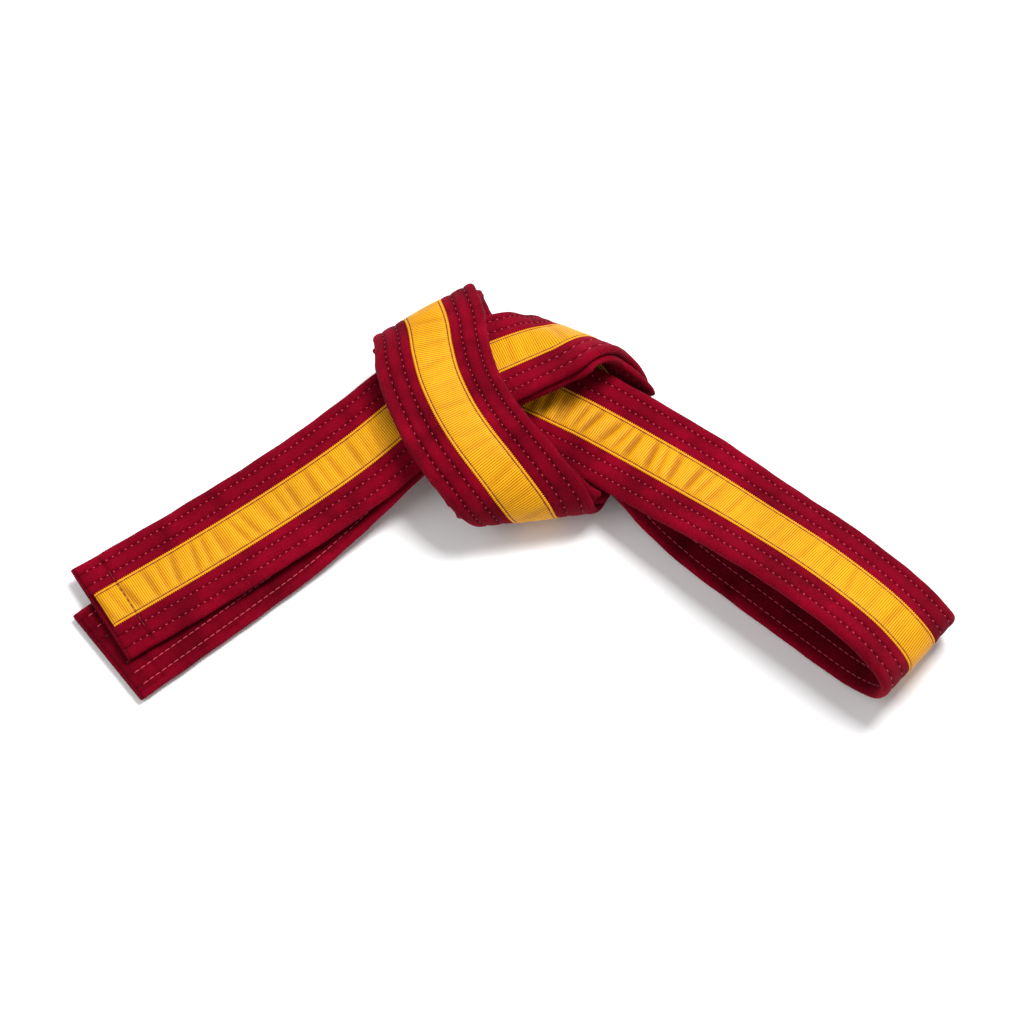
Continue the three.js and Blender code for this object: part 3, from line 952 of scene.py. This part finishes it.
def make_cover(stretch, start, end):
    """One stretch of the cover, from its outside grid, its inside grid and its rims."""
    along = spaced(start, end, RING_STEP)
    across, height = cover_ring(along)
    outside = lay(along[:, None], across, height)
    inside_along = along[::2] if len(along) % 2 else np.append(along[::2], along[-1])
    row = np.array(INSIDE_ROW) * [MM, WALL_INSIDE]
    inside = lay(inside_along[:, None], row[None, :, 0], row[None, :, 1])
    count = across.shape[1]
    faces = [*ring_faces(len(along), count, turned=True),
             *ring_faces(len(inside_along), len(row), first=outside.shape[0] * count)]
    cloth = np.vstack([cloth_grid(along, across), cloth_grid(inside_along, row[None, :, 0])])
    points = np.vstack([outside.reshape(-1, 3), inside.reshape(-1, 3)])
    piece = mesh_piece(f"{stretch}_cover", points, faces, cloth, RED_COTTON)
    # ridge runs from 0 in the grooves, painted darker as shade, to 1 on the channel tops and the
    # round edges, paler with wear
    stands = np.abs(height).ravel()
    ridge = np.zeros(len(points), np.float32)
    ridge[:len(stands)] = np.clip((stands - GROOVE) / (FRONT_RIDGE - GROOVE), 0, 1)
    edge = np.abs(across).ravel() > HALF_WIDTH - EDGE_ROUNDING
    ridge[:len(stands)][edge] = 1
    point_value(piece, "ridge", ridge)
    close_tube(piece)
    return piece


HEM_GAP = 0.05 * MM
HEM = HEM_DEPTH + HEM_GAP
ENDS = {
    "upper_end": (UPPER_TIP + HEM, OUTER_CUT),
    "middle": (OUTER_CUT, INNER_CUT),
    "lower_end": (INNER_CUT, LOWER_TIP - HEM),
}
for stretch, (start, end) in ENDS.items():
    cover = make_cover(stretch, start, end)
    belongs(cover, stretch, "cover")
    print(cover.name, "faces:", len(cover.data.polygons))

# %% [markdown]
# ## The ribbon
# The ribbon lies on one face only. Its ribs are modelled, five rings to a rib, and each rib ends
# in a small loop at the selvedge, which makes the scalloped edge. The ribbon is a little longer
# than the cotton under it, so it puckers crosswise, most of all on the upper end and where the
# strap comes out of the knot. The edge stitching presses it down.

# %% The ribbon's height
RIBBON_THICKNESS = 0.32 * MM
RIBBON_TOP = 1.98 * MM
RIBBON_INSET = 2.2 * MM  # its end is rolled under just inside the tip
RIB_HEIGHT = 0.13 * MM
RIB_FULLNESS = 0.8
PUCKER_HEIGHT = 0.42 * MM
PUCKER_WAVES = [0.0049, 0.0067, 0.0103]
SLEW, SLEW_WAVES = 0.22, [0.047, 0.081]  # how far a pucker turns from straight across
PUCKERED_END = 0.12  # reach of the strong puckers from each tip
PUCKERED_LEG = 0.24  # their place where the strap leaves the knot, before the inner cut
LEG_REACH = 0.042
EVERYWHERE, ON_ENDS, BY_KNOT = 0.3, 0.7, 1.5  # how much each place adds to the puckers
PRESS_DEPTH, PRESS_WIDTH = 0.3 * MM, 0.3 * MM  # under the edge stitching
TURN_DOWN, TURN_START, TURN_WIDTH = 0.3 * MM, 7.5 * MM, 0.5 * MM  # of the selvedge
ROLL_DEPTH, ROLL_LENGTH = 0.6 * MM, 1.6 * MM  # of the rolled end
SCALLOP = 0.24 * MM
SELVEDGE_POWER = 9  # so only the outermost points follow the scallops
# how dark the painted shade in the pucker hollows gets, and how it fades towards the edges
HOLLOW_SHADE_SHARE, HOLLOW_SHADE_POWER = 0.85, 4
UNDERSIDE_PLACES = [7.9, 4, -4, -7.9]
RIBBON_PLACES = [0, 3.6, 6.2, 6.65, 6.9, 7.15, 7.6, 8]


def pucker(along, across):
    """Crosswise waves of the ribbon, weak on the loop, strong on the ends and by the knot."""
    on_upper = np.exp(-((along - UPPER_TIP) / PUCKERED_END) ** 4)
    on_leg = np.exp(-((INNER_CUT - along - PUCKERED_LEG) / LEG_REACH) ** 4)
    on_lower = np.exp(-((LOWER_TIP - along) / PUCKERED_END) ** 4)
    amount = EVERYWHERE + ON_ENDS * np.clip(on_upper + on_lower, 0, 1) + BY_KNOT * on_leg
    slewed = along + SLEW * across * swell(along, "slew", SLEW_WAVES)
    return np.tanh(amount * swell(slewed, "pucker", PUCKER_WAVES))


def ribbon_height(along, across):
    """Top face of the ribbon."""
    size = abs(across)
    rib = RIB_HEIGHT * (np.abs(np.cos(math.pi * along / RIB)) ** RIB_FULLNESS - 0.5)
    rounded = 1 - (size / EDGE_ROW) ** 6 if size < EDGE_ROW else 0
    waves = PUCKER_HEIGHT * pucker(along, across) * rounded
    press = PRESS_DEPTH * math.exp(-((size - EDGE_ROW) / PRESS_WIDTH) ** 2)
    turned_down = TURN_DOWN * max(0, (size - TURN_START) / TURN_WIDTH) ** 2
    to_end = np.minimum(np.abs(along - UPPER_TIP), np.abs(LOWER_TIP - along)) - RIBBON_INSET
    rolled = ROLL_DEPTH * np.clip(1 - to_end / ROLL_LENGTH, 0, 1) ** 2
    return RIBBON_TOP + rib + waves - press - turned_down - rolled - tack_dip(along)


print("ribbon's top at its middle, mm:", np.round(ribbon_height(np.array([0.3]), 0) / MM, 2))


# %% Ribbon pieces
def make_ribbon(stretch, start, end):
    """One stretch of ribbon: a ribbed top and a plain underside."""
    along = spaced(start, end, RIB / 5)
    scallop = SCALLOP * np.cos(2 * math.pi * along / RIB)
    columns = []
    for w in both_sides(RIBBON_PLACES):
        share = (abs(w) / (RIBBON_WIDTH / 2)) ** SELVEDGE_POWER
        columns.append((w + math.copysign(1, w) * share * scallop, ribbon_height(along, w)))
    for w in UNDERSIDE_PLACES:
        columns.append((w * MM + 0 * along, ribbon_height(along, w * MM) - RIBBON_THICKNESS))
    across = np.stack([c[0] for c in columns], axis=1)
    height = np.stack([c[1] for c in columns], axis=1)
    points = lay(along[:, None], across, height).reshape(-1, 3)
    count = across.shape[1]
    faces = [*ring_faces(len(along), count, turned=True), *end_faces(count, len(points))]
    cloth = cloth_grid(along, across)
    piece = mesh_piece(f"{stretch}_ribbon", points, faces, cloth, GOLD_RIBBON)
    # painted shade in the pucker hollows, fading out towards the selvedge
    hollow_shade = HOLLOW_SHADE_SHARE * np.clip(-pucker(along[:, None], across), 0, 1)
    hollow_shade = hollow_shade * np.clip(1 - (np.abs(across) / (RIBBON_WIDTH / 2)) ** HOLLOW_SHADE_POWER, 0, 1)
    point_value(piece, "hollow_shade", hollow_shade)
    return piece


for stretch, (start, end) in STRETCHES.items():
    start = start + (RIBBON_INSET if stretch == "upper_end" else 0)
    end = end - (RIBBON_INSET if stretch == "lower_end" else 0)
    ribbon = make_ribbon(stretch, start, end)
    belongs(ribbon, stretch, "ribbon")
    print(ribbon.name, "faces:", len(ribbon.data.polygons))

# %% [markdown]
# ## Stitches
# Each stitch is a short length of thread that comes up through one hole and goes down through the
# next, so its ends dive into the cloth. Hundreds are needed, so each has only a few faces. On the
# ribbon face the red rows show as short dashes, because the thread sinks into the soft cotton. On
# the plain face the thread lies on top and the dashes nearly touch.

# %% One row of stitches
THREAD_RADIUS = 0.19 * MM
STITCH_SIDES = 5
STITCH_RINGS = [  # place along half a stitch, rise in mm, thickness
    (-1, -0.34, 0.55),
    (-0.62, 0.01, 0.95),
    (0, 0.09, 1.1),
    (0.62, 0.01, 0.95),
    (1, -0.34, 0.55),
]
QUILTED = (0.42, 0.8)  # how much of its length a stitch shows, and how deep it dives
EDGED = (1.06, 0.25)
ON_BACK = (1.0, 0.5)
THREAD_SMOOTH = 80  # degrees


def stitch_row(centres, half_length, across, height_of, dive, crosswise=False):
    """Points, faces and cloth coordinates of one row of stitches along (or across) the strap."""
    centres = np.asarray(centres)
    points, cloth = [], []
    turns = np.arange(STITCH_SIDES) * 2 * math.pi / STITCH_SIDES
    for reach, sink, thickness in STITCH_RINGS:
        for turn in turns:
            run = centres + reach * half_length
            side = THREAD_RADIUS * thickness * math.cos(turn)
            depth = sink * dive if sink < 0 else sink
            rise = THREAD_RADIUS * thickness * math.sin(turn) + depth * MM
            if crosswise:
                spots = (across + side, run)
                height = np.array([float(height_of(np.array([across]), w)[0]) for w in run])
            else:
                spots = (run, across + side + 0 * run)
                height = height_of(run, across)
            sign = np.sign(height)
            points.append(lay(spots[0], spots[1], height + sign * rise))
            cloth.append(np.stack(np.broadcast_arrays(*spots), axis=-1))
    points = np.stack(points, axis=1)
    cloth = np.stack(cloth, axis=1)
    per_stitch = points.shape[1]
    template = ring_faces(len(STITCH_RINGS), STITCH_SIDES).tolist()
    template.append(list(range(STITCH_SIDES))[::-1])
    template.append(list(range(per_stitch - STITCH_SIDES, per_stitch)))
    faces = [[v + i * per_stitch for v in f] for i in range(len(centres)) for f in template]
    return points.reshape(-1, 3), faces, cloth.reshape(-1, 2)


print("points in one stitch:", len(STITCH_RINGS) * STITCH_SIDES)


# %% Both faces of a row
def join_rows(rows):
    """Several rows as one set of points, faces and cloth coordinates."""
    points, faces, cloth = [], [], []
    first = 0
    for row_points, row_faces, row_cloth in rows:
        points.append(row_points)
        cloth.append(row_cloth)
        faces += [[v + first for v in f] for f in row_faces]
        first += len(row_points)
    return np.vstack(points), faces, np.vstack(cloth)


def outward_faces(piece):
    """Turns every stitch's faces outward."""
    shape = bmesh.new()
    shape.from_mesh(piece.data)
    bmesh.ops.recalc_face_normals(shape, faces=shape.faces)
    shape.to_mesh(piece.data)
    shape.free()


def stitch_centres(start, end):
    """Middles of the stitches whose holes fall on whole stitch lengths."""
    first = math.ceil(start / STITCH)
    last = math.floor(end / STITCH)
    return (np.arange(first, last) + 0.5) * STITCH


def make_row(name, ends, across, top, shape, material):
    """One row of stitching: dashes on the ribbon face and longer ones on the plain face."""
    centres = stitch_centres(*ends)
    faces = []
    for height_of, (share, dive) in ((top, shape), (back_height, ON_BACK)):
        faces.append(stitch_row(centres, STITCH * share / 2, across, height_of, dive))
    piece = mesh_piece(name, *join_rows(faces), material, THREAD_SMOOTH)
    outward_faces(piece)
    return piece


print("stitches in 100 mm:", len(stitch_centres(0, 100 * MM)))

# %% All the rows
TIP_MARGIN = 2.6 * MM
stitches = 0
for stretch, (start, end) in STRETCHES.items():
    start = start + (TIP_MARGIN if stretch == "upper_end" else 0)
    end = end - (TIP_MARGIN if stretch == "lower_end" else 0)
    for i, across in enumerate((-RED_ROWS[1], -RED_ROWS[0], RED_ROWS[0], RED_ROWS[1])):
        name = f"{stretch}_quilting_row_{i + 1}"
        row = make_row(name, (start, end), across, front_height, QUILTED, RED_THREAD)
        belongs(row, stretch, f"quilting_row_{i + 1}")
        stitches += len(row.data.polygons)
    for i, across in enumerate((-EDGE_ROW, EDGE_ROW)):
        name = f"{stretch}_ribbon_stitching_{i + 1}"
        row = make_row(name, (start, end), across, ribbon_height, EDGED, DARK_THREAD)
        belongs(row, stretch, f"ribbon_stitching_{i + 1}")
        stitches += len(row.data.polygons)
print("faces in all stitches:", stitches)

# %% [markdown]
# ## Batting
# Nobody sees the batting, but it is a real piece of the belt: a soft flat strip that fills the
# cover. It is swept along the same route, a little narrower than the cover's inside.

# %% Batting pieces
BATTING_OUTLINE = [(-19.6, 0), (-18.8, 0.38), (-9, 0.45), (0, 0.45), (9, 0.45), (18.8, 0.38),
                   (19.6, 0), (18.8, -0.38), (9, -0.45), (0, -0.45), (-9, -0.45), (-18.8, -0.38)]
BATTING_STEP = 2 * MM
BATTING_SWELL, BATTING_WAVES = 0.12, [0.011, 0.023]


def make_batting(stretch, start, end):
    """One stretch of batting with a slightly uneven thickness."""
    along = spaced(start, end, BATTING_STEP)
    outline = np.array(BATTING_OUTLINE) * MM
    uneven = 1 + BATTING_SWELL * swell(along, "batting", BATTING_WAVES)[:, None]
    points = lay(along[:, None], outline[None, :, 0], outline[None, :, 1] * uneven).reshape(-1, 3)
    count = len(outline)
    faces = [*ring_faces(len(along), count, turned=True), *end_faces(count, len(points))]
    return mesh_piece(f"{stretch}_batting", points, faces, None, BATTING)


for stretch, (start, end) in ENDS.items():
    batting = make_batting(stretch, start, end)
    belongs(batting, stretch, "batting")
    print(batting.name, "faces:", len(batting.data.polygons))

# %% [markdown]
# ## The tips
# At each tip the cloth is folded over and closes the tube, and one row of stitching runs across the
# strap 12 mm from the end. The folded cloth is a rounded lip, thinner towards the very end.

# %% Tip hems and cross stitching
LIP = [  # depth in mm, share of the strap's height, half width in mm
    (0.0, 0.45, 22.0),
    (0.12, 0.72, 22.3),
    (0.35, 0.9, 22.45),
    (0.7, 0.98, 22.5),
    (1.2, 1.0, 22.5),
]
LIP_PALENESS = [0.5, 0.7, 0.7, 0.5, 0.4]  # how pale each ring of the lip is, between the painted groove shade and the ridge colour
CROSS_HALF = 5  # stitches on each side of the middle line
CROSS_REACH, CROSS_DIVE = 0.52, 0.2  # to each side of its middle, as a share of a stitch


def make_hem(name, tip, inward):
    """The folded cloth that closes one tip."""
    along = np.array([tip + inward * depth * MM for depth, _, _ in LIP])
    across, height = cover_ring(np.full(len(LIP), tip + inward * HEM_DEPTH))
    thinner = np.array([share for _, share, _ in LIP])[:, None]
    narrower = np.array([half * MM / HALF_WIDTH for _, _, half in LIP])[:, None]
    points = lay(along[:, None], across * narrower, height * thinner)
    count = across.shape[1]
    faces = [*ring_faces(len(along), count), list(range(count)),
             list(range(count * (len(LIP) - 1), count * len(LIP)))]
    cloth = cloth_grid(along, across)
    piece = mesh_piece(name, points.reshape(-1, 3), faces, cloth, RED_COTTON)
    outward_faces(piece)
    point_value(piece, "ridge", np.repeat(LIP_PALENESS, count))
    return piece


def top_face(along, across):
    """The ribbon's top where there is ribbon, and the cover's front beside it."""
    face = ribbon_height if abs(across) < RIBBON_WIDTH / 2 else front_height
    return face(along, across)


def make_cross_stitching(name, place):
    """A row of stitches right across the strap."""
    centres = (np.arange(-CROSS_HALF, CROSS_HALF) + 0.5) * STITCH
    row = stitch_row(centres, CROSS_REACH * STITCH, place, top_face, CROSS_DIVE, crosswise=True)
    piece = mesh_piece(name, *row, TACK_THREAD, THREAD_SMOOTH)
    outward_faces(piece)
    return piece


for tail, tip, inward in (("upper_tail", UPPER_TIP, 1), ("lower_tail", LOWER_TIP, -1)):
    hem = make_hem(f"{tail}_folded_tip", tip, inward)
    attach(hem, tail)
    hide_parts(f"{tail}_tip_hem")
    cross = make_cross_stitching(f"{tail}_cross_row", tip + inward * TACK_INSET)
    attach(cross, tail)
    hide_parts(f"{tail}_cross_stitching")
    print(hem.name, "and", cross.name)
